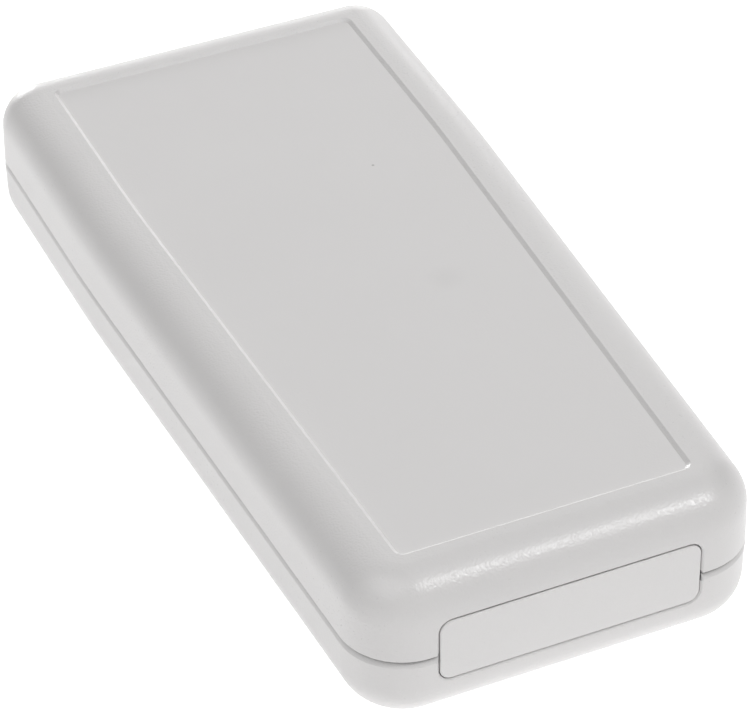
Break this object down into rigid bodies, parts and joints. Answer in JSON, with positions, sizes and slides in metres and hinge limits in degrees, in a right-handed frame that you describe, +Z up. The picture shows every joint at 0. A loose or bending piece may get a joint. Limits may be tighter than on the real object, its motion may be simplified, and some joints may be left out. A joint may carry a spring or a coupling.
{
  "type": "project box",
  "caption": "Closed two-shell plastic project box with a shallow label recess on top and a plain trapped panel in its narrower end.",
  "frame": {"origin": "centre of the closed case's outline, on the plane it stands on", "axes": "+Y runs along the case from the panel end to the far end, +X to the right when looking along +Y, +Z up through the top"},
  "size_m": [0.08, 0.166, 0.029],
  "materials": {
    "shell_top": "fine-grained moulded ABS, light warm grey",
    "shell_bottom": "fine-grained moulded ABS, light warm grey",
    "panel": "plain satin ABS plate, light warm grey",
    "screw_steel": "bright zinc-plated steel"
  },
  "bodies": {
    "root": {"top_shell": "shell_top", "bottom_shell": "shell_bottom", "end_panel": "panel", "screw_near_left": "screw_steel", "screw_near_right": "screw_steel", "screw_far_left": "screw_steel", "screw_far_right": "screw_steel"}
  },
  "joints": []
}
